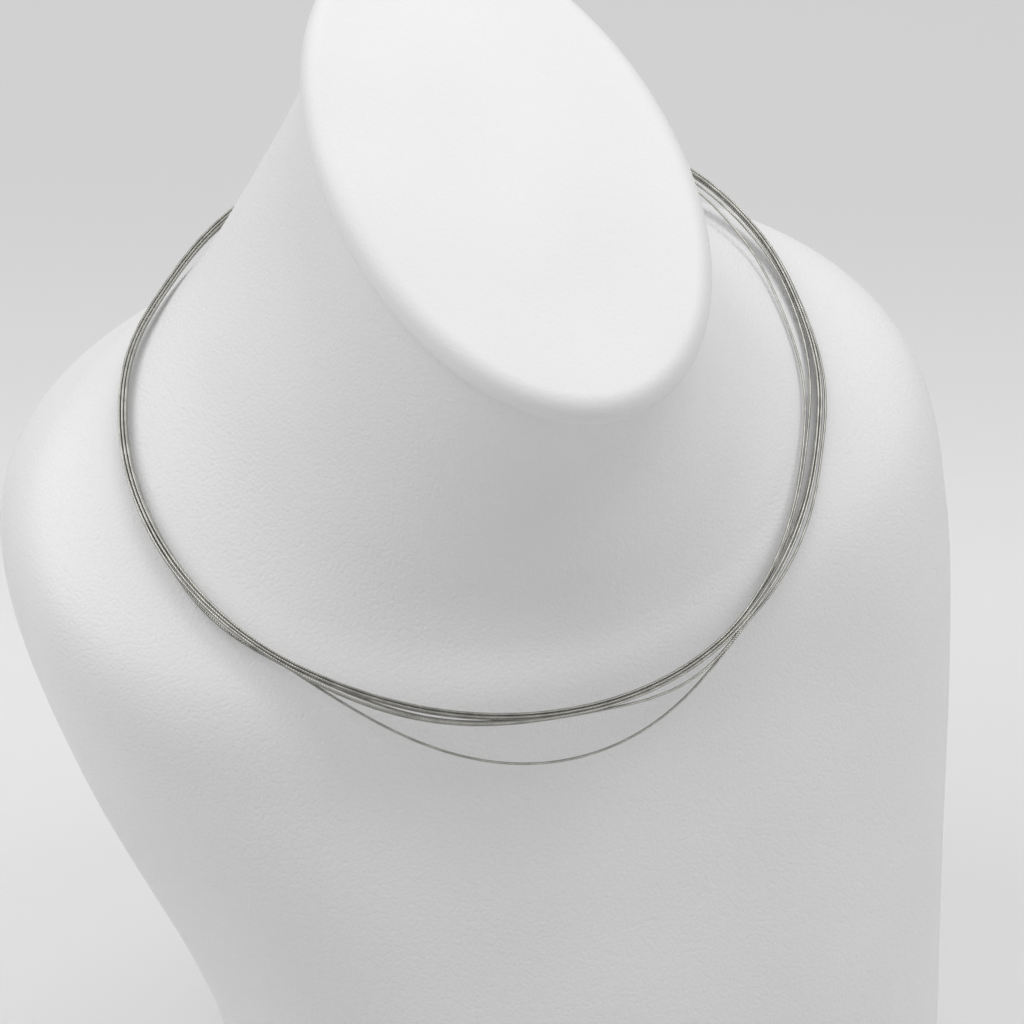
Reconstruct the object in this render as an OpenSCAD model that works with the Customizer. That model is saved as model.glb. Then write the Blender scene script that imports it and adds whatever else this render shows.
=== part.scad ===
// A necklace of nine fine twisted steel cables, worn on a leatherette neck bust.
// The cables run side by side from one barrel clasp at the nape, round the neck and back.
// They are three layers of three. Within a layer they never cross, but the layers slide
// over each other, and some cables sag out of the bundle.
// +Z is up, the bust looks along -Y, and the origin is the middle of its footprint.

/* [Cables] */
// Diameter of one cable
cable_d = 0.5; // [0.4:0.05:0.5]
// Distance between the middles of two neighbouring cables in the tight bundle
cable_pitch = 0.56; // [0.56:0.01:0.64]
// How far the whole loop leans down towards the front, in degrees
loop_tilt = 14; // [13:0.5:14.5]
// How far the loosest cable sags below the bundle at the front
sag_drop = 6.5; // [5:0.5:8]
// How far the loosest cable stands out in front of the bundle
sag_reach = 5; // [4:0.5:6]

/* [Clasp] */
// Diameter of the barrel
clasp_d = 5; // [4.5:0.1:5.2]
// Length of the barrel between its two end caps
clasp_l = 12; // [10:0.5:14]
// Diameter of an end cap
cap_d = 3.6; // [3.2:0.1:3.8]
// Length of an end cap
cap_l = 4; // [3:0.5:5]

/* [Bust] */
// Half width of the oval neck pad
pad_half_w = 33; // [31:0.5:34]
// Height of the pad's rolled edge above its widest line
pad_edge_h = 3.5; // [3:0.5:5]
// How far the rolled edge comes in over that height
pad_edge_in = 4; // [3:0.5:5]
// How far the middle of the pad swells above its rolled edge
pad_crown = 1; // [0.5:0.5:2]
// Width of the seam between the pad and the neck
seam_gap = 0.3; // [0.2:0.1:0.5]

/* [Hidden] */

// Sections through the bust form, from its foot to the top of the neck.
// Each is an oval in a plane of its own: height and y of its middle, half width, depth to
// the front and to the back, tilt of the plane in degrees, and squareness (2 is an ellipse).
HEIGHT = 0; MIDDLE = 1; HALF_W = 2; FRONT = 3; BACK = 4; TILT = 5; SQUARE = 6;
SECTIONS = [
    [    0, -27.0, 64.5, 78.0, 107.0,  0.0, 2.6],
    [   45, -14.0, 70.0, 83.0, 98.0,  0.0, 2.6],
    [   85,   2.0, 79.0, 81.0, 85.5,  0.0, 2.6],
    [  120,  17.5, 90.0, 75.0, 85.5,  2.0, 2.6],
    [  146,  22.5, 94.0, 65.5, 82.5,  6.0, 2.5],
    [165.5,  22.5, 91.0, 60.0, 66.0, 11.0, 2.0],
    [176.5,  27.5, 65.5, 59.0, 60.0, 13.0, 1.95],
    [187.5,  24.5, 49.0, 53.0, 64.0, 15.0, 1.95],
    [  207,  18.0, 35.5, 45.0, 62.0, 19.0, 2.0],
    [  232,  12.5, 29.5, 46.0, 53.5, 21.5, 2.0],
];
section_steps = 5;
section_points = 64;
foot_round = 2;
neck_round = 0.8;

// The pad lies on the last section's plane, its middle pad_behind further back than the
// neck's. Its edge is a roll, widest pad_belly above the form, and it comes in by
// pad_under_in below that line.
pad_behind = 3;
pad_belly = 1.2;
pad_under_in = 0.9;
pad_front = 52;
pad_back = 55;
pad_arc_steps = 4;
pad_dome_scales = [0.75, 0.5, 0.25];

// The loop is a ring round loop_centre, in a plane tilted by loop_tilt.
// Angle 0 is its front, and a positive angle turns towards +X.
loop_centre = [0, 24, 175];
// Every 15 degrees: radius of the bundle's middle, its lift off the loop's plane, how far
// the cables of a layer are spread, and how far the layers slide, both in pitches.
ANGLE = 0; RADIUS = 1; LIFT = 2; SPREAD = 3; SLIDE = 4;
LOOP = [
    [-180, 67.0, -2.0, 1.0,  0.0],
    [-165, 67.5, -1.5, 1.0,  0.0],
    [-150, 66.5,  0.2, 1.0, -0.2],
    [-135, 66.5,  0.6, 1.0, -0.3],
    [-120, 68.5,  0.4, 1.0,  0.0],
    [-105, 69.5,  0.6, 1.1,  0.2],
    [ -90, 70.5,  1.0, 1.1,  0.5],
    [ -75, 71.5,  1.0, 1.2,  0.5],
    [ -60, 72.0,  1.0, 1.0,  0.5],
    [ -45, 72.0,  1.0, 1.2,  0.2],
    [ -30, 72.0,  1.0, 1.3,  0.1],
    [ -15, 71.5,  1.0, 1.2,  0.2],
    [   0, 70.5,  1.0, 1.1,  0.2],
    [  15, 68.5,  1.0, 1.0,  0.2],
    [  30, 66.0,  1.0, 1.1,  0.2],
    [  45, 64.5,  1.0, 1.0,  0.1],
    [  60, 64.5,  1.3, 1.0, -0.2],
    [  75, 66.5,  1.3, 1.0, -0.4],
    [  90, 69.0,  1.0, 1.0, -0.5],
    [ 105, 73.0,  0.2, 1.0, -0.6],
    [ 120, 75.0,  1.0, 1.0, -0.6],
    [ 135, 75.0,  0.5, 1.0, -0.4],
    [ 150, 73.0, -0.5, 1.0, -0.2],
    [ 165, 69.0, -1.5, 1.0,  0.0],
    [ 180, 67.0, -2.0, 1.0,  0.0],
];
// Stretches where one cable leaves the bundle: cable, first and last angle, and how far
// it goes out from the loop's middle and up off its plane.
CABLE = 0; FROM = 1; TO = 2; OUT = 3; UP = 4;
STRAYS = [
    [3, -55,  22, sag_reach, -sag_drop],
    [3, -80, -54,  0.9,  0.0],
    [3,  12,  60,  1.0,  0.0],
    [3,  30,  96,  0.7,  0.0],
    [2, -48, -18,  0.7,  0.0],
    [6, -58, -14,  1.0,  0.0],
    [9, -58, -14,  1.0,  0.0],
    [6, -10,  22,  1.5, -0.5],
    [7,  16,  70, -0.8,  0.2],
    [7,  30, 160, -3.4,  0.3],
    [4,  22,  98, -1.3,  0.0],
    [4,  80, 160, -1.2,  0.0],
    [1,  30,  96,  0.3,  0.0],
    [2,  30,  96,  0.3,  0.0],
];
stray_power = 1.5;
stray_skew = 1.1;
// The cables leave the ring loop_free degrees from its front and run straight to the clasp.
loop_free = 162;
cable_rings = 60;
cable_sides = 8;
layer_size = 3;
clasp_facets = 48;
clasp_edge = 0.3;

// A smooth curve through the rows of a table, four rows at a time.
function spline(a, b, c, d, t) = (2 * b + (c - a) * t + (2 * a - 5 * b + 4 * c - d) * t * t
    + (3 * b - a - 3 * c + d) * t * t * t) / 2;
function bent_power(v, e) = sign(v) * pow(abs(v), e);
function loop_faces(rings, n) = concat(
    [[for (j = [0 : n - 1]) j]],
    [for (i = [0 : rings - 2], j = [0 : n - 1])
        [i * n + j, (i + 1) * n + j, (i + 1) * n + (j + 1) % n, i * n + (j + 1) % n]],
    [[for (j = [0 : n - 1]) rings * n - 1 - j]]);
function flat(lists) = [for (l = lists) each l];

// One oval: the point at an angle from the front, drawn in by inset.
function oval_point(row, angle, inset) = let (
    e = 2 / row[SQUARE],
    c = bent_power(cos(angle), e),
    reach = (c > 0 ? row[FRONT] - inset : row[BACK] - inset) * c)
    [(row[HALF_W] - inset) * bent_power(sin(angle), e),
        row[MIDDLE] - reach * cos(row[TILT]),
        row[HEIGHT] - reach * sin(row[TILT])];
function oval(row, inset) =
    [for (j = [0 : section_points - 1]) oval_point(row, 360 * j / section_points, inset)];
function raised(row, h) = row + h * [cos(row[TILT]), -sin(row[TILT]), 0, 0, 0, 0, 0];
function shrunk(row, inset, share) = [row[HEIGHT], row[MIDDLE],
    (row[HALF_W] - inset) * share, (row[FRONT] - inset) * share,
    (row[BACK] - inset) * share, row[TILT], row[SQUARE]];

// Sections of the bust form, with the rows between two table rows worked out.
function section(i) = SECTIONS[max(0, min(len(SECTIONS) - 1, i))];
function section_between(i, t) = spline(
    i == 0 ? 2 * section(0) - section(1) : section(i - 1),
    section(i), section(i + 1),
    i == len(SECTIONS) - 2 ? 2 * section(i + 1) - section(i) : section(i + 2), t);
function form_rows() = [for (i = [0 : len(SECTIONS) - 2], k = [0 : section_steps - 1])
    section_between(i, k / section_steps)];

// The bundle's row of LOOP at any angle, and how much of a stray's reach applies there.
loop_step = 360 / (len(LOOP) - 1);
function loop_row(i) = LOOP[(i + len(LOOP) - 1) % (len(LOOP) - 1)];
function loop_at(angle) = let (s = (angle - LOOP[0][ANGLE]) / loop_step, i = floor(s))
    spline(loop_row(i - 1), loop_row(i), loop_row(i + 1), loop_row(i + 2), s - i);
function stray_part(s, angle) = angle <= s[FROM] || angle >= s[TO] ? 0
    : pow(sin(180 * pow((angle - s[FROM]) / (s[TO] - s[FROM]), stray_skew)), stray_power);
function sum(v, i = 0) = i >= len(v) ? 0 : v[i] + sum(v, i + 1);
function stray(k, angle, column) =
    sum([for (s = STRAYS) s[CABLE] == k ? s[column] * stray_part(s, angle) : 0]);

// Place of cable k in its layer, and the layer's level: -1, 0 or 1.
function place(k) = (k - 1) % layer_size - 1;
function level(k) = floor((k - 1) / layer_size) - 1;
function on_loop(angle, radius, up) = loop_centre + [radius * sin(angle),
    -radius * cos(angle) * cos(loop_tilt) - up * sin(loop_tilt),
    -radius * cos(angle) * sin(loop_tilt) + up * cos(loop_tilt)];
function cable_point(k, angle) = let (b = loop_at(angle)) on_loop(angle,
    b[RADIUS] + (place(k) * b[SPREAD] + level(k) * b[SLIDE]) * cable_pitch
        + stray(k, angle, OUT),
    b[LIFT] + level(k) * cable_pitch + stray(k, angle, UP));

// The clasp lies across the nape. Each cable ends square on the face of an end cap.
nape = on_loop(180, LOOP[0][RADIUS], LOOP[0][LIFT]);
cap_face = clasp_l / 2 + cap_l;
function nape_point(k, x) = nape + [x, place(k) * cable_pitch * cos(loop_tilt)
    - level(k) * cable_pitch * sin(loop_tilt),
    place(k) * cable_pitch * sin(loop_tilt) + level(k) * cable_pitch * cos(loop_tilt)];
function cable_route(k) = concat(
    [nape_point(k, -cap_face)],
    [for (i = [0 : cable_rings]) cable_point(k, -loop_free + 2 * loop_free * i / cable_rings)],
    [nape_point(k, cap_face)]);

// A tube along a route: each ring stands square to the route and keeps the loop's up.
function unit(v) = v / norm(v);
loop_up = [0, -sin(loop_tilt), cos(loop_tilt)];
function heading(p, i) = i == 0 || i == len(p) - 1 ? [-1, 0, 0]
    : unit(p[i + 1] - p[i - 1]);
function tube_ring(p, i) = let (t = heading(p, i), out = unit(cross(t, loop_up)),
    up = cross(out, t))
    [for (j = [0 : cable_sides - 1]) let (a = 360 * j / cable_sides)
        p[i] + cable_d / 2 * (up * cos(a) + out * sin(a))];

module cable(k) {
    route = cable_route(k);
    color("#8b8d88")
        polyhedron(flat([for (i = [0 : len(route) - 1]) tube_ring(route, i)]),
            loop_faces(len(route), cable_sides), convexity = 4);
}

module clasp() {
    half = [[0, cap_face], [cap_d / 2 - clasp_edge, cap_face],
        [cap_d / 2, cap_face - clasp_edge], [cap_d / 2, clasp_l / 2],
        [clasp_d / 2 - clasp_edge, clasp_l / 2], [clasp_d / 2, clasp_l / 2 - clasp_edge]];
    color("#9a9c98")
        translate(nape)
            rotate([0, 90, 0])
                rotate_extrude($fn = clasp_facets)
                    polygon(concat(half,
                        [for (i = [len(half) - 1 : -1 : 0]) [half[i][0], -half[i][1]]]));
}

module bust_form() {
    rows = form_rows();
    top = section(len(SECTIONS) - 1);
    rings = concat(
        [oval(rows[0], foot_round)],
        [oval(raised(rows[0], foot_round), 0)],
        [for (i = [1 : len(rows) - 1]) oval(rows[i], 0)],
        [oval(raised(top, -neck_round), 0)],
        [oval(top, neck_round)]);
    color("#e9e9e8")
        polyhedron(flat(rings), loop_faces(len(rings), section_points), convexity = 4);
}

module neck_pad() {
    top = section(len(SECTIONS) - 1);
    row = [top[HEIGHT] + pad_behind * sin(top[TILT]),
        top[MIDDLE] + pad_behind * cos(top[TILT]),
        pad_half_w, pad_front, pad_back, top[TILT], 2];
    rings = concat(
        [for (k = [pad_arc_steps : -1 : 1]) let (a = 90 * k / pad_arc_steps)
            oval(raised(row, pad_belly - (pad_belly - seam_gap) * sin(a)),
                pad_under_in * (1 - cos(a)))],
        [for (k = [0 : pad_arc_steps]) let (a = 90 * k / pad_arc_steps)
            oval(raised(row, pad_belly + pad_edge_h * sin(a)), pad_edge_in * (1 - cos(a)))],
        [for (s = pad_dome_scales)
            oval(raised(shrunk(row, pad_edge_in, s),
                pad_belly + pad_edge_h + pad_crown * (1 - s * s)), 0)]);
    color("#ededec")
        polyhedron(flat(rings), loop_faces(len(rings), section_points), convexity = 4);
}

bust_form();
neck_pad();
clasp();
cable(1);  // cable_1
cable(2);  // cable_2
cable(3);  // cable_3
cable(4);  // cable_4
cable(5);  // cable_5
cable(6);  // cable_6
cable(7);  // cable_7
cable(8);  // cable_8
cable(9);  // cable_9
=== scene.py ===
# %% [markdown]
# # A necklace of nine steel cables on a neck bust
# The object is a close-fitting necklace: nine fine cables, each twisted from bright
# stainless wires, that run side by side round the neck and end in one clasp at the nape.
# It is worn by a plain display bust covered in white leatherette, with a padded oval top.
# The imported model is loaded first. It gives the frame, in metres.

# %% Load the imported model
import math
import bmesh
import bpy
import numpy as np
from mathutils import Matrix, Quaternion, Vector


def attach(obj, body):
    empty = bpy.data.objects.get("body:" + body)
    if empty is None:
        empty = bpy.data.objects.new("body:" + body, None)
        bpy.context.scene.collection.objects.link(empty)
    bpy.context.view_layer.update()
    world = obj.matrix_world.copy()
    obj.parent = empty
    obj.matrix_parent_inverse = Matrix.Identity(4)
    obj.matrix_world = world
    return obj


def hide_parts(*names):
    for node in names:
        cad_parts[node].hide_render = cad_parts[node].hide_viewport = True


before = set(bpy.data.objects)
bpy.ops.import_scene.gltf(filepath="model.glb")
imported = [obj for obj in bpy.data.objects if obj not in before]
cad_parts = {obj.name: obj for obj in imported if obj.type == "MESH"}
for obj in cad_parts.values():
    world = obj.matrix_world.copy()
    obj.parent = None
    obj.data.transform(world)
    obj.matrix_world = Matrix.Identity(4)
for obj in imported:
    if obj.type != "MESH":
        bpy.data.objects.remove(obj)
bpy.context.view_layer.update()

MM = 0.001

# %% [markdown]
# ## The camera
# The view is from the front left and from above, with a long lens, so near and far parts
# of the loop differ little in size. The camera stands on a line from the middle of the
# loop, given by two angles and a distance, and it looks a little below and beside it, as
# the object sits in the frame. Turning the camera does that without any lens shift, so
# every other view stays centred too.

# %% Stand the camera
LOOP_CENTRE = Vector((0, 24, 175)) * MM
LENS, SENSOR, DISTANCE, ROLL = 105.5, 36, 579.1, 0.46
STANDS_AT, LOOKS_FROM = (-25, 40), (-25.7, 42.1)


def direction(azimuth, elevation):
    """The unit vector to a place seen at these angles; azimuth 0 is in front, at -Y."""
    a, e = math.radians(azimuth), math.radians(elevation)
    return Vector((math.sin(a) * math.cos(e), -math.cos(a) * math.cos(e), math.sin(e)))


lens = bpy.data.cameras.new("camera")
lens.lens, lens.sensor_width = LENS, SENSOR
camera = bpy.data.objects.new("camera", lens)
camera.location = LOOP_CENTRE + direction(*STANDS_AT) * DISTANCE * MM
camera.rotation_mode = "QUATERNION"
camera.rotation_quaternion = (direction(*LOOKS_FROM).to_track_quat("Z", "Y")
                              @ Quaternion((0, 0, 1), math.radians(ROLL)))
bpy.context.scene.collection.objects.link(camera)
bpy.context.scene.camera = camera
print("camera at", [round(x, 3) for x in camera.location])

# %% [markdown]
# ## The routes of the cables
# Nine cables lie in three layers of three. They follow one ring that leans down towards
# the front. A short table says, every 15 degrees, how wide the ring is, how far it lifts
# off its plane, how far the cables of a layer spread, and how far the layers slide over
# each other. A second table names the stretches where one cable leaves the bundle, such
# as the loose one that sags at the front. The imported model's cables follow the same two
# tables, so the fine ones made here lie exactly where those are.

# %% The bundle's sizes and tables
CABLE_D, PITCH, LOOP_TILT, LOOP_STEP = 0.5, 0.56, 14, 15
LOOP = np.array([  # angle, radius, lift, spread, slide
    [-180, 67.0, -2.0, 1.0, 0.0], [-165, 67.5, -1.5, 1.0, 0.0], [-150, 66.5, 0.2, 1.0, -0.2],
    [-135, 66.5, 0.6, 1.0, -0.3], [-120, 68.5, 0.4, 1.0, 0.0], [-105, 69.5, 0.6, 1.1, 0.2],
    [-90, 70.5, 1.0, 1.1, 0.5], [-75, 71.5, 1.0, 1.2, 0.5], [-60, 72.0, 1.0, 1.0, 0.5],
    [-45, 72.0, 1.0, 1.2, 0.2], [-30, 72.0, 1.0, 1.3, 0.1], [-15, 71.5, 1.0, 1.2, 0.2],
    [0, 70.5, 1.0, 1.1, 0.2], [15, 68.5, 1.0, 1.0, 0.2], [30, 66.0, 1.0, 1.1, 0.2],
    [45, 64.5, 1.0, 1.0, 0.1], [60, 64.5, 1.3, 1.0, -0.2], [75, 66.5, 1.3, 1.0, -0.4],
    [90, 69.0, 1.0, 1.0, -0.5], [105, 73.0, 0.2, 1.0, -0.6], [120, 75.0, 1.0, 1.0, -0.6],
    [135, 75.0, 0.5, 1.0, -0.4], [150, 73.0, -0.5, 1.0, -0.2], [165, 69.0, -1.5, 1.0, 0.0]])
STRAYS = [  # cable, from, to, out, up
    (3, -55, 22, 5.0, -6.5), (3, -80, -54, 0.9, 0.0), (3, 12, 60, 1.0, 0.0),
    (3, 30, 96, 0.7, 0.0), (2, -48, -18, 0.7, 0.0), (6, -58, -14, 1.0, 0.0),
    (9, -58, -14, 1.0, 0.0), (6, -10, 22, 1.5, -0.5), (7, 16, 70, -0.8, 0.2),
    (7, 30, 160, -3.4, 0.3), (4, 22, 98, -1.3, 0.0), (4, 80, 160, -1.2, 0.0),
    (1, 30, 96, 0.3, 0.0), (2, 30, 96, 0.3, 0.0)]
STRAY_POWER, STRAY_SKEW = 1.5, 1.1
print("ring of %d rows, %d strays" % (len(LOOP), len(STRAYS)))

# %% [markdown]
# One smooth curve has to go through each column of the table. A cubic spline without
# handles does that: between two rows it uses those two and one more on each side. A stray
# is added to it as half a wave that starts and ends softly.

# %% The middle of a cable at any angle
def spline(a, b, c, d, t):
    """A smooth curve through four points, between the middle two."""
    return (2 * b + (c - a) * t + (2 * a - 5 * b + 4 * c - d) * t ** 2
            + (3 * b - a - 3 * c + d) * t ** 3) / 2


def on_loop(angle, radius, up):
    """A point of the leaning ring's own space, in mm."""
    a, t = math.radians(angle), math.radians(LOOP_TILT)
    forward = radius * math.cos(a)
    return np.array(LOOP_CENTRE / MM) + [
        radius * math.sin(a), -forward * math.cos(t) - up * math.sin(t),
        -forward * math.sin(t) + up * math.cos(t)]


def cable_point(k, angle):
    """The middle of cable k at an angle round the loop, in mm."""
    i, t = divmod((angle + 180) / LOOP_STEP, 1)
    rows = [LOOP[(int(i) + j) % len(LOOP)] for j in (-1, 0, 1, 2)]
    _, radius, lift, spread, slide = spline(*rows, t)
    place, level = (k - 1) % 3 - 1, (k - 1) // 3 - 1
    radius += (place * spread + level * slide) * PITCH
    up = lift + level * PITCH
    for cable, start, end, out, rise in STRAYS:
        if cable == k and start < angle < end:
            part = ((angle - start) / (end - start)) ** STRAY_SKEW
            part = math.sin(math.pi * part) ** STRAY_POWER
            radius, up = radius + out * part, up + rise * part
    return on_loop(angle, radius, up)


print("front of the loose cable:", cable_point(3, -15).round(1))

# %% [markdown]
# A cable starts at one end face of the clasp, comes onto the ring beside the nape, goes
# once round the neck and ends at the clasp's other end face. Each stretch between two of
# its points is cut into eight, so that the fine cable bends evenly.

# %% From one end of the clasp to the other
CLASP_D, CLASP_L, CAP_D, CAP_L = 5, 12, 3.6, 4
LOOP_FREE, CABLE_RINGS, FINER = 162, 60, 8
NAPE = on_loop(180, LOOP[0, 1], LOOP[0, 2])


def cable_route(k):
    """From one end of the clasp round the neck to the other end, in mm."""
    t = math.radians(LOOP_TILT)
    place, level = ((k - 1) % 3 - 1) * PITCH, ((k - 1) // 3 - 1) * PITCH
    end = NAPE + [0, place * math.cos(t) - level * math.sin(t),
                  place * math.sin(t) + level * math.cos(t)]
    face = np.array([CLASP_L / 2 + CAP_L, 0, 0])
    angles = np.linspace(-LOOP_FREE, LOOP_FREE, CABLE_RINGS + 1)
    return np.array([end - face, *[cable_point(k, a) for a in angles], end + face])


def smoothed(points, steps):
    """The same route with steps short pieces for each long one."""
    p = np.concatenate([[2 * points[0] - points[1]], points, [2 * points[-1] - points[-2]]])
    fine = [spline(*p[i:i + 4], t) for i in range(len(p) - 3)
            for t in np.arange(steps) / steps]
    return np.array(fine + [points[-1]])


routes = {k: smoothed(cable_route(k), FINER) * MM for k in range(1, 10)}

# %% [markdown]
# ## Helpers for nodes and colours
# Every material and every tree of geometry nodes is built with one function that adds a
# node, gives it its settings and fills its inputs with values or links. Colours are
# written as the hex values that a paint chart shows and are turned to linear light.

# %% Helpers
def add(tree, kind, inputs=None, **settings):
    """Adds one node. inputs maps a socket's name or number to a value or an output."""
    node = tree.nodes.new(kind)
    for name, value in settings.items():
        setattr(node, name, value)
    for key, value in (inputs or {}).items():
        if isinstance(value, bpy.types.NodeSocket):
            tree.links.new(value, node.inputs[key])
        else:
            node.inputs[key].default_value = value
    return node


def linear(code):
    """The linear colour of an sRGB hex value such as #e9e9e8."""
    parts = [int(code[i:i + 2], 16) / 255 for i in (1, 3, 5)]
    return (*[c / 12.92 if c <= 0.04045 else ((c + 0.055) / 1.055) ** 2.4
              for c in parts], 1.0)


def new_material(name):
    """An empty material and its tree."""
    material = bpy.data.materials.new(name)
    material.use_nodes = True
    material.node_tree.nodes.clear()
    return material, material.node_tree


print("middle grey #808080 in linear light: %.3f" % linear("#808080")[0])

# %% [markdown]
# ## Finish: bright stainless wire
# The cables are cold-drawn stainless wire, twisted and left bright. Drawing leaves the
# metal shiny with a faint satin along its length. The twist turns each wire's face a
# little from its neighbour's, which is what makes the row of glints, so the wires are
# real shapes here and the material only gives the metal its grey-olive tone and a
# slightly uneven polish.

# %% Steel for the cables
WIRE_PATCH = 3 * MM  # a patch of the surface, as the wire passed the die
wire_steel, tree = new_material("drawn_stainless_wire")
where = add(tree, "ShaderNodeTexCoord").outputs["Object"]
patches = add(tree, "ShaderNodeTexNoise", {"Vector": where, "Scale": 1 / WIRE_PATCH,
                                           "Detail": 2.0}).outputs["Fac"]
tone = add(tree, "ShaderNodeValToRGB", {"Fac": patches})
tone.color_ramp.elements[0].position, tone.color_ramp.elements[1].position = 0.35, 0.65
tone.color_ramp.elements[0].color = linear("#9f9e99")
tone.color_ramp.elements[1].color = linear("#b7b6b0")
polish = add(tree, "ShaderNodeMapRange", {"Value": patches, "To Min": 0.1, "To Max": 0.2})
steel = add(tree, "ShaderNodeBsdfPrincipled", {
    "Base Color": tone.outputs["Color"], "Metallic": 1.0,
    "Roughness": polish.outputs["Result"]})
add(tree, "ShaderNodeOutputMaterial", {"Surface": steel.outputs["BSDF"]})
print("material", wire_steel.name)

# %% [markdown]
# ## The cables
# A cable of this kind is seven wires: one in the middle and six wound round it. Modelling
# the wires one by one would take seven tubes each. The outline of the six outer wires is
# one curve with six lobes, and sweeping it along the route while it turns gives the same
# surface at a fraction of the faces. Geometry nodes do that. First the tree gets its
# named inputs: a lay is the length in which a wire goes once round, and the start turn
# sets where on the cable's rim the first wire begins.

# %% The tree's inputs
twist = bpy.data.node_groups.new("twisted_cable", "GeometryNodeTree")
twist.interface.new_socket("Geometry", in_out="OUTPUT", socket_type="NodeSocketGeometry")
twist.interface.new_socket("Geometry", in_out="INPUT", socket_type="NodeSocketGeometry")
cable_inputs = {}
for name, kind in (("Diameter", "NodeSocketFloat"), ("Lay", "NodeSocketFloat"),
                   ("Rings per lay", "NodeSocketInt"), ("Start turn", "NodeSocketFloat"),
                   ("Material", "NodeSocketMaterial")):
    socket = twist.interface.new_socket(name, in_out="INPUT", socket_type=kind)
    cable_inputs[name] = socket.identifier
given = add(twist, "NodeGroupInput").outputs
print("inputs of the tree:", list(cable_inputs))

# %% [markdown]
# The arithmetic of the tree is a table with a sum in each row, and a loop makes a Math
# node of each. Its first rows space the rings and turn them, one full turn for each lay.
# The others find the outline. Seen from the end, each outer wire is a circle. Its radius
# is a sixth of the cable's diameter, and its middle lies two such radii out. At an angle a
# from the top of its lobe, its rim lies 2 cos a plus the root of 1 - 4 sin a squared such
# radii out, where sin a squared is the sine times itself.

# %% The tree's arithmetic
LOBES, POINTS = 6, 4
sums = {"along": add(twist, "GeometryNodeSplineParameter").outputs["Length"],
        "point": add(twist, "GeometryNodeInputIndex").outputs["Index"],
        **{name: given[name] for name in ("Diameter", "Lay", "Rings per lay", "Start turn")}}
for result, operation, first, second in (
        ("ring step", "DIVIDE", "Lay", "Rings per lay"),
        ("lays", "DIVIDE", "along", "Lay"),
        ("turns", "ADD", "lays", "Start turn"),
        ("tilt", "MULTIPLY", "turns", 2 * math.pi),
        ("point of lobe", "MODULO", "point", POINTS),
        ("way round", "MULTIPLY", "point of lobe", math.radians(360 / LOBES / POINTS)),
        ("from top", "SUBTRACT", "way round", math.pi / LOBES),
        ("sine", "SINE", "from top", 0.0),
        ("cosine", "COSINE", "from top", 0.0),
        ("sine squared", "MULTIPLY", "sine", "sine"),
        ("four times", "MULTIPLY", "sine squared", 4.0),
        ("under the root", "SUBTRACT", 1.0, "four times"),
        ("at least 0", "MAXIMUM", "under the root", 0.0),
        ("root", "SQRT", "at least 0", 0.0),
        ("to the wire", "MULTIPLY", "cosine", 2.0),
        ("radii out", "ADD", "root", "to the wire"),
        ("wire radius", "DIVIDE", "Diameter", 6.0),
        ("reach", "MULTIPLY", "radii out", "wire radius")):
    inputs = {0: sums.get(first, first), 1: sums.get(second, second)}
    sums[result] = add(twist, "ShaderNodeMath", inputs, operation=operation).outputs[0]
print("sums:", len(sums))

# %% [markdown]
# The tree itself is three steps. The route is made a curve with evenly spaced points and
# is tilted point by point. A circle of 24 points is pulled in to the six lobes. Then the
# outline is swept along the route, its ends are closed, and it gets its material.

# %% Route, outline and sweep
route = add(twist, "GeometryNodeMeshToCurve", {"Mesh": given["Geometry"]})
route = add(twist, "GeometryNodeResampleCurve", {
    "Curve": route.outputs["Curve"], "Length": sums["ring step"]}, mode="LENGTH")
route = add(twist, "GeometryNodeSetCurveTilt", {"Curve": route.outputs["Curve"],
                                                "Tilt": sums["tilt"]})
outline = add(twist, "GeometryNodeCurvePrimitiveCircle", {"Resolution": LOBES * POINTS,
                                                          "Radius": 1.0})
place = add(twist, "ShaderNodeVectorMath", {
    0: add(twist, "GeometryNodeInputPosition").outputs["Position"],
    "Scale": sums["reach"]}, operation="SCALE")
outline = add(twist, "GeometryNodeSetPosition", {"Geometry": outline.outputs["Curve"],
                                                 "Position": place.outputs["Vector"]})
swept = add(twist, "GeometryNodeCurveToMesh", {
    "Curve": route.outputs["Curve"], "Profile Curve": outline.outputs["Geometry"],
    "Fill Caps": True})
swept = add(twist, "GeometryNodeSetShadeSmooth", {"Geometry": swept.outputs["Mesh"],
                                                  "Shade Smooth": True})
swept = add(twist, "GeometryNodeRealizeInstances", {"Geometry": swept.outputs["Geometry"]})
swept = add(twist, "GeometryNodeSetMaterial", {"Geometry": swept.outputs["Geometry"],
                                               "Material": given["Material"]})
add(twist, "NodeGroupOutput", {"Geometry": swept.outputs["Geometry"]})
print("tree", twist.name, "with", len(twist.nodes), "nodes")

# %% [markdown]
# Each cable is a run of the same tree on its own route. A lay of such cable is 6 to 7
# diameters. The start turn differs from cable to cable, so their glints don't line up.
# The result is made a plain mesh and takes the place of the imported model's plain tube,
# which is hidden.

CABLE_LAY, RINGS_PER_LAY, TURN_APART = 3.2, 12, 0.37


def volume(mesh):
    """Volume in ml of a closed mesh; below zero if it is inside out."""
    bm = bmesh.new()
    bm.from_mesh(mesh)
    v = bm.calc_volume(signed=True)
    bm.free()
    return v * 1e6


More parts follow.
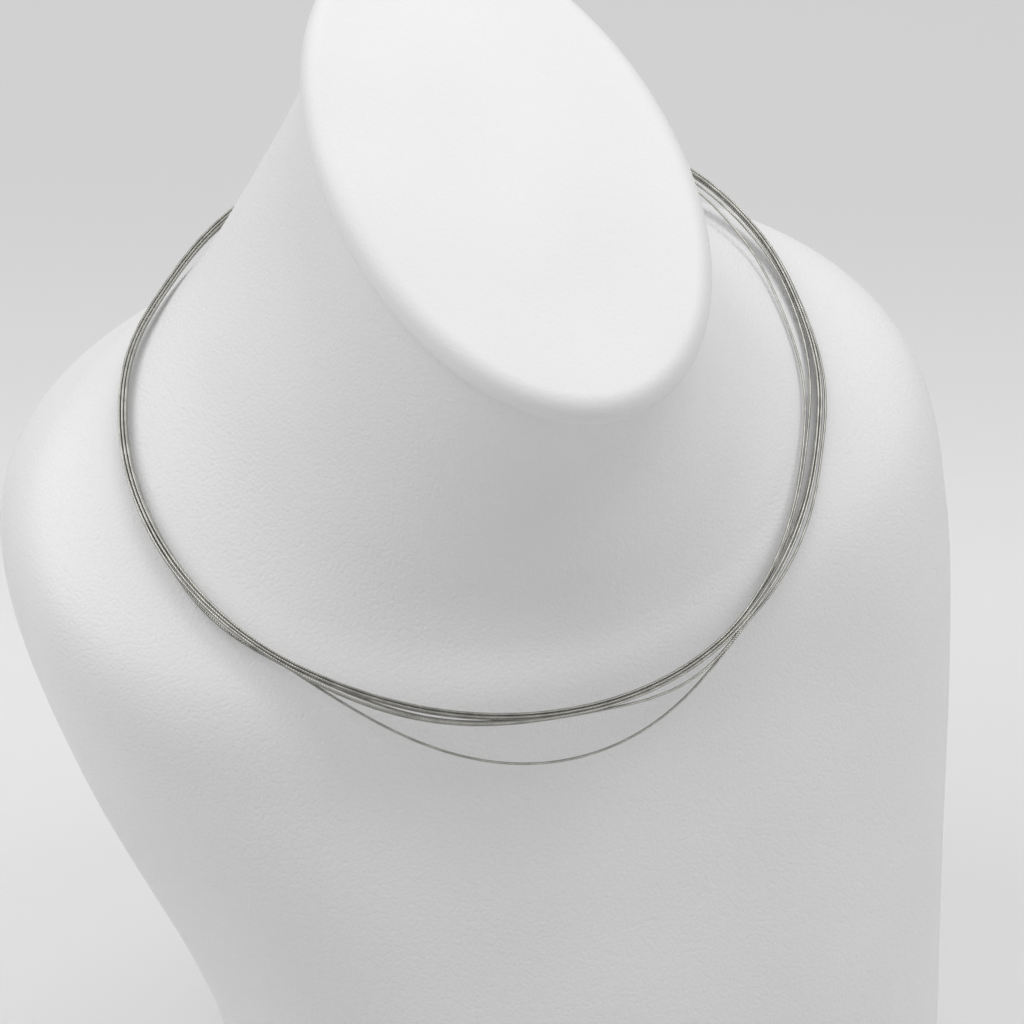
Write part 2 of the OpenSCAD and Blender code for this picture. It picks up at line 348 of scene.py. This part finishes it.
for k, path in routes.items():
    line = bpy.data.meshes.new("route")
    line.from_pydata([tuple(p) for p in path], [(i, i + 1) for i in range(len(path) - 1)], [])
    maker = bpy.data.objects.new("maker", line)
    bpy.context.scene.collection.objects.link(maker)
    modifier = maker.modifiers.new("twist", "NODES")
    modifier.node_group = twist
    for name, value in (("Diameter", CABLE_D * MM), ("Lay", CABLE_LAY * MM),
                        ("Rings per lay", RINGS_PER_LAY), ("Start turn", TURN_APART * k % 1),
                        ("Material", wire_steel)):
        modifier[cable_inputs[name]] = value
    mesh = bpy.data.meshes.new_from_object(
        maker.evaluated_get(bpy.context.evaluated_depsgraph_get()))
    bpy.data.objects.remove(maker)
    bpy.data.meshes.remove(line)
    mesh.name = "twisted_cable_%d" % k
    piece = bpy.data.objects.new(mesh.name, mesh)
    bpy.context.scene.collection.objects.link(piece)
    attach(piece, "root")
    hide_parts("cable_%d" % k)
    print(piece.name, len(mesh.polygons), "faces, %.1f mm3" % (volume(mesh) * 1000))

# %% [markdown]
# ## Finish: white leatherette
# The bust is covered in leatherette: a white polyurethane skin on cloth, embossed with a
# fine pebble grain and sealed with a matt varnish. The eye sees an even, soft white with
# a low, broad shine, and close up a net of shallow creases round pebbles about two thirds
# of a millimetre wide. A pattern of cells round scattered points makes the pebbles, a
# noise bends their edges so that they don't look like tiles, and a finer noise gives the
# skin between them.

# %% The pebble grain
PEBBLE, BEND_EVERY, BEND_BY, SKIN = 0.65 * MM, 1.2 * MM, 0.5 * MM, 0.3 * MM


def pebble_grain(tree, where):
    """The height of the grain as an output: about 1.1 on a pebble and 0.7 in a crease."""
    bend = add(tree, "ShaderNodeTexNoise", {"Vector": where, "Scale": 1 / BEND_EVERY,
                                            "Detail": 1.0})
    bent = add(tree, "ShaderNodeVectorMath", {0: bend.outputs["Color"],
                                              1: (0.5, 0.5, 0.5)}, operation="SUBTRACT")
    bent = add(tree, "ShaderNodeVectorMath", {0: bent.outputs["Vector"],
                                              "Scale": BEND_BY}, operation="SCALE")
    bent = add(tree, "ShaderNodeVectorMath", {0: where, 1: bent.outputs["Vector"]},
               operation="ADD")
    pebbles = add(tree, "ShaderNodeTexVoronoi", {"Vector": bent.outputs["Vector"],
                                                 "Scale": 1 / PEBBLE})
    skin = add(tree, "ShaderNodeTexNoise", {"Vector": where, "Scale": 1 / SKIN,
                                            "Detail": 1.0})
    # Each pebble is a low dome: its height falls with the square of the way from its middle.
    dome = add(tree, "ShaderNodeMath", {0: pebbles.outputs["Distance"], 1: 2.0},
               operation="POWER")
    relief = add(tree, "ShaderNodeMath", {0: dome.outputs[0], 1: -0.9, 2: 1.0},
                 operation="MULTIPLY_ADD")
    return add(tree, "ShaderNodeMath", {0: skin.outputs["Fac"], 1: 0.2,
                                        2: relief.outputs[0]},
               operation="MULTIPLY_ADD").outputs[0]


print("pebbles of %.2f mm" % (PEBBLE / MM))

# %% [markdown]
# On the pad the same sheet is pulled tight over foam, which flattens its grain, so one
# function makes both finishes and takes the depth of the creases. The varnish is worn
# smoother on top of the pebbles than between them, and the white differs a little over a
# few centimetres, as a rolled sheet's does. Polyurethane bends light as most plastics do.

# %% Leatherette
CLOUD, IOR_POLYURETHANE = 35 * MM, 1.5


def leatherette(name, depth):
    """White leatherette whose creases are as deep as given, in metres."""
    cover, tree = new_material(name)
    where = add(tree, "ShaderNodeTexCoord").outputs["Object"]
    relief = pebble_grain(tree, where)
    bump = add(tree, "ShaderNodeBump", {"Height": relief, "Strength": 0.5,
                                        "Distance": depth})
    cloudy = add(tree, "ShaderNodeTexNoise", {"Vector": where, "Scale": 1 / CLOUD,
                                              "Detail": 1.0})
    white = add(tree, "ShaderNodeValToRGB", {"Fac": cloudy.outputs["Fac"]})
    for element, position, code in zip(white.color_ramp.elements, (0.3, 0.7),
                                       ("#e6e6e6", "#eaeaea")):
        element.position, element.color = position, linear(code)
    sheen = add(tree, "ShaderNodeMapRange", {"Value": relief, "From Min": 0.4,
                                             "From Max": 1.2, "To Min": 0.62,
                                             "To Max": 0.46})
    varnished = add(tree, "ShaderNodeBsdfPrincipled", {
        "Base Color": white.outputs["Color"], "Roughness": sheen.outputs["Result"],
        "IOR": IOR_POLYURETHANE, "Normal": bump.outputs["Normal"]})
    add(tree, "ShaderNodeOutputMaterial", {"Surface": varnished.outputs["BSDF"]})
    print("material", name)
    return cover


embossed = leatherette("embossed_white_leatherette", 0.16 * MM)
stretched = leatherette("stretched_white_leatherette", 0.06 * MM)

# %% [markdown]
# ## The bust form
# The bust is a moulded shell: chest, shoulders and a neck that leans forward, with a flat
# foot. A table gives an oval every few centimetres from foot to neck, with the place of
# its middle, its half width, its depth to the front and to the back, its tilt, and how
# square it is. A smooth curve runs through each column, so any number of ovals can be
# drawn between the rows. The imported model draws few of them. Here they are drawn fine
# enough that no facet shows in the shading.

# %% The bust's ovals
SECTIONS = np.array([  # height, middle, half width, front, back, tilt, squareness
    [0, -27.0, 64.5, 78.0, 107.0, 0.0, 2.6], [45, -14.0, 70.0, 83.0, 98.0, 0.0, 2.6],
    [85, 2.0, 79.0, 81.0, 85.5, 0.0, 2.6], [120, 17.5, 90.0, 75.0, 85.5, 2.0, 2.6],
    [146, 22.5, 94.0, 65.5, 82.5, 6.0, 2.5], [165.5, 22.5, 91.0, 60.0, 66.0, 11.0, 2.0],
    [176.5, 27.5, 65.5, 59.0, 60.0, 13.0, 1.95], [187.5, 24.5, 49.0, 53.0, 64.0, 15.0, 1.95],
    [207, 18.0, 35.5, 45.0, 62.0, 19.0, 2.0], [232, 12.5, 29.5, 46.0, 53.5, 21.5, 2.0]])
AROUND, BETWEEN = 192, 16


def oval(row, inset=0.0):
    """Points round one section, in mm, drawn in by inset."""
    height, middle, half_w, front, back, tilt, square = row
    a = np.linspace(0, 2 * math.pi, AROUND, endpoint=False)
    s = np.sign(np.sin(a)) * np.abs(np.sin(a)) ** (2 / square)
    c = np.sign(np.cos(a)) * np.abs(np.cos(a)) ** (2 / square)
    reach = np.where(c > 0, front - inset, back - inset) * c
    t = math.radians(tilt)
    return np.stack([(half_w - inset) * s, middle - reach * math.cos(t),
                     height - reach * math.sin(t)], 1)


ends = [2 * SECTIONS[0] - SECTIONS[1], *SECTIONS, 2 * SECTIONS[-1] - SECTIONS[-2]]
rows = [spline(*ends[i:i + 4], t) for i in range(len(SECTIONS) - 1)
        for t in np.arange(BETWEEN) / BETWEEN]
print(len(SECTIONS), "rows drawn as", len(rows), "ovals")

# %% [markdown]
# The skin is laid over the ovals ring by ring, and both ends are shut with a fan of
# triangles. One function does it for the bust, the pad and the clasp. The foot and the
# top of the neck get a small rounding, because no moulded edge is sharp.

# %% Lay the bust's skin
def raised(row, h):
    """The section moved by h along the line square to its plane."""
    t = math.radians(row[5])
    return np.array(row) + [h * math.cos(t), -h * math.sin(t), 0, 0, 0, 0, 0]


def make_piece(name, vertices, faces, material):
    """A smooth mesh object at the origin, with its place in its vertices, in metres."""
    mesh = bpy.data.meshes.new(name)
    mesh.from_pydata([tuple(v) for v in vertices], [], faces)
    mesh.materials.append(material)
    mesh.shade_smooth()
    piece = bpy.data.objects.new(name, mesh)
    bpy.context.scene.collection.objects.link(piece)
    return piece


def loft(name, rings, material):
    """One closed skin over rings of equal size, in mm, with both ends shut."""
    n, m = len(rings[0]), len(rings)
    faces = [(i * n + j, i * n + (j + 1) % n, (i + 1) * n + (j + 1) % n, (i + 1) * n + j)
             for i in range(m - 1) for j in range(n)]
    points = np.concatenate([*rings, [rings[0].mean(0)], [rings[-1].mean(0)]])
    faces += [(j, m * n, (j + 1) % n) for j in range(n)]
    faces += [((m - 1) * n + (j + 1) % n, m * n + 1, (m - 1) * n + j) for j in range(n)]
    piece = make_piece(name, points * MM, faces, material)
    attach(piece, "root")
    print(name, len(faces), "faces, %.1f ml" % volume(piece.data))
    return piece


FOOT_ROUND, NECK_ROUND = 2.0, 0.8
foot, top = SECTIONS[0], SECTIONS[-1]
rings = [oval(raised(foot, FOOT_ROUND * (1 - math.cos(a))), FOOT_ROUND * (1 - math.sin(a)))
         for a in np.radians([0, 22.5, 45, 67.5])]
rings += [oval(r) for r in rows if r[0] > FOOT_ROUND]
rings += [oval(raised(top, -NECK_ROUND * (1 - math.sin(a))), NECK_ROUND * (1 - math.cos(a)))
          for a in np.radians([0, 30, 60, 90])]
bust = loft("bust_cover", rings, embossed)
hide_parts("bust_form")

# %% [markdown]
# ## The pad on the neck
# The neck is shut by an oval board with thin foam, covered in the same leatherette, so
# it has a rolled edge, a low crown, and a fine dark seam where it meets the neck. The
# cover is pulled tight and the photograph shows no fold in it. A cloth simulation would
# return the same smooth skin with a less even edge, so the roll is drawn as two quarters
# of ovals, a small one below its widest line and a larger one above it, and the crown as
# a shallow dome.

# %% Build the pad
PAD_HALF_W, PAD_FRONT, PAD_BACK, PAD_BEHIND = 33, 52, 55, 3
PAD_BELLY, PAD_UNDER_IN, SEAM_GAP = 1.2, 0.9, 0.3
PAD_EDGE_H, PAD_EDGE_IN, PAD_CROWN = 3.5, 4, 1
BELLY_STEPS, EDGE_STEPS, CROWN_STEPS = 8, 16, 24
lean = math.radians(top[5])
base = np.array([top[0] + PAD_BEHIND * math.sin(lean), top[1] + PAD_BEHIND * math.cos(lean),
                 PAD_HALF_W, PAD_FRONT, PAD_BACK, top[5], 2.0])
rings = [oval(raised(base, PAD_BELLY - (PAD_BELLY - SEAM_GAP) * math.sin(a)),
              PAD_UNDER_IN * (1 - math.cos(a)))
         for a in np.linspace(math.pi / 2, 0, BELLY_STEPS + 1)[:-1]]
rings += [oval(raised(base, PAD_BELLY + PAD_EDGE_H * math.sin(a)),
               PAD_EDGE_IN * (1 - math.cos(a)))
          for a in np.linspace(0, math.pi / 2, EDGE_STEPS + 1)]
for share in np.linspace(1, 0, CROWN_STEPS + 1)[1:-1]:
    row = raised(base, PAD_BELLY + PAD_EDGE_H + PAD_CROWN * (1 - share ** 2))
    row[2:5] = (row[2:5] - PAD_EDGE_IN) * share
    rings.append(oval(row))
pad = loft("pad_cover", rings, stretched)
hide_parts("neck_pad")

# %% [markdown]
# ## The clasp
# The clasp is at the nape, where the photograph doesn't show it, so it is the plainest
# one that holds nine cables: a polished steel barrel with a cup at each end. Turned and
# polished stainless steel is brighter than the wires, with a few smears in its shine.

# %% Steel for the clasp
SMEAR = 2 * MM
clasp_steel, tree = new_material("polished_stainless_steel")
where = add(tree, "ShaderNodeTexCoord").outputs["Object"]
smears = add(tree, "ShaderNodeTexNoise", {"Vector": where, "Scale": 1 / SMEAR})
polish = add(tree, "ShaderNodeMapRange", {"Value": smears.outputs["Fac"],
                                          "To Min": 0.1, "To Max": 0.2})
steel = add(tree, "ShaderNodeBsdfPrincipled", {
    "Base Color": linear("#c8c6c1"), "Metallic": 1.0,
    "Roughness": polish.outputs["Result"]})
add(tree, "ShaderNodeOutputMaterial", {"Surface": steel.outputs["BSDF"]})
print("material", clasp_steel.name)

# %% Turn the clasp
BEVEL, BEVEL_STEPS, TURNED = 0.3, 5, 64


def turned_edge(radius, end):
    """A rounded outer edge of a turned piece: radius and place of its points, in mm."""
    return [(radius - BEVEL * (1 - math.cos(a)), end - BEVEL * (1 - math.sin(a)))
            for a in np.linspace(math.pi / 2, 0, BEVEL_STEPS + 1)]


half = turned_edge(CAP_D / 2, CLASP_L / 2 + CAP_L) + [(CAP_D / 2, CLASP_L / 2)]
half += turned_edge(CLASP_D / 2, CLASP_L / 2)
around = np.linspace(0, 2 * math.pi, TURNED, endpoint=False)
profile = [(r, -x) for r, x in half] + half[::-1]
rings = [NAPE + np.stack([np.full(TURNED, x), -r * np.sin(around), r * np.cos(around)], 1)
         for r, x in profile]
clasp = loft("turned_clasp", rings, clasp_steel)
clasp.data.set_sharp_from_angle(angle=math.radians(40))
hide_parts("clasp")

# %% [markdown]
# ## Floor
# The bust stands on a sheet of matt paper, as products are photographed. Its colour is
# painted light in front and a soft grey at the far end, which sets the white bust off
# against it. This fade is painted shade that stands in for the light falling off towards
# the far end. It runs from white to grey over 350 mm behind the middle of the bust.

# %% Floor
FLOOR, PAINTED_SHADE_FADE, FIBRES = 4.0, 0.35, 4 * MM
AWAY = direction(154.3, 0)
paper, tree = new_material("matt_white_paper")
where = add(tree, "ShaderNodeTexCoord").outputs["Object"]
fibres = add(tree, "ShaderNodeTexNoise", {"Vector": where, "Scale": 1 / FIBRES})
bump = add(tree, "ShaderNodeBump", {"Height": fibres.outputs["Fac"], "Strength": 0.1,
                                    "Distance": 0.1 * MM})
# The fade below is painted shade: the paper is painted darker the farther it lies behind the
# bust.
behind = add(tree, "ShaderNodeVectorMath", {0: where, 1: tuple(AWAY)},
             operation="DOT_PRODUCT")
painted_shade_fade = add(tree, "ShaderNodeMapRange", {"Value": behind.outputs["Value"], "From Min": 0.0,
                                        "From Max": PAINTED_SHADE_FADE}, interpolation_type="SMOOTHSTEP")
grey = add(tree, "ShaderNodeValToRGB", {"Fac": painted_shade_fade.outputs["Result"]})
grey.color_ramp.elements[0].color = linear("#e8e8e8")
grey.color_ramp.elements[1].color = linear("#cacaca")
sheet = add(tree, "ShaderNodeBsdfPrincipled", {
    "Base Color": grey.outputs["Color"], "Roughness": 0.9, "Normal": bump.outputs["Normal"]})
add(tree, "ShaderNodeOutputMaterial", {"Surface": sheet.outputs["BSDF"]})
floor = make_piece("floor", [(-FLOOR, -FLOOR, 0), (FLOOR, -FLOOR, 0), (FLOOR, FLOOR, 0),
                             (-FLOOR, FLOOR, 0)], [(0, 1, 2, 3)], paper)
print("floor of", paper.name)

# %% [markdown]
# ## Lights and surroundings
# White leatherette shows its shape only by soft shading, so the light is mostly even and
# comes from above: the surroundings are dark below and bright above. Three square soft
# lamps add to it. The two behind light the shoulders and the top of the pad, whose edges
# are the brightest places in the picture. The key lamp stands at the right, is smaller,
# and gives each cable a soft shadow and its glints.

# %% Lamps
LAMP_DISTANCE = 1.2
for name, azimuth, elevation, size, power in (("key", 78, 49, 0.5, 3.0),
                                              ("back_left", -125, 50, 0.8, 5.4),
                                              ("back_right", 135, 60, 0.8, 3.3)):
    light = bpy.data.lights.new(name, "AREA")
    light.size, light.energy = size, power
    lamp = bpy.data.objects.new(name, light)
    lamp.location = LOOP_CENTRE + direction(azimuth, elevation) * LAMP_DISTANCE
    lamp.rotation_euler = direction(azimuth, elevation).to_track_quat("Z", "Y").to_euler()
    lamp.visible_camera = False
    bpy.context.scene.collection.objects.link(lamp)
    print("lamp", name, "of %.1f W" % power)

# %% Surroundings
world = bpy.data.worlds.new("studio")
bpy.context.scene.world = world
world.use_nodes = True
tree = world.node_tree
upward = add(tree, "ShaderNodeSeparateXYZ", {
    "Vector": add(tree, "ShaderNodeTexCoord").outputs["Generated"]})
walls = add(tree, "ShaderNodeMapRange", {
    "Value": upward.outputs["Z"], "From Min": -0.7, "From Max": 0.7, "To Min": 0.0,
    "To Max": 0.58}, interpolation_type="SMOOTHSTEP")
tree.links.new(walls.outputs["Result"], tree.nodes["Background"].inputs["Color"])
bpy.context.scene.view_settings.view_transform = "Standard"
print("world", world.name)
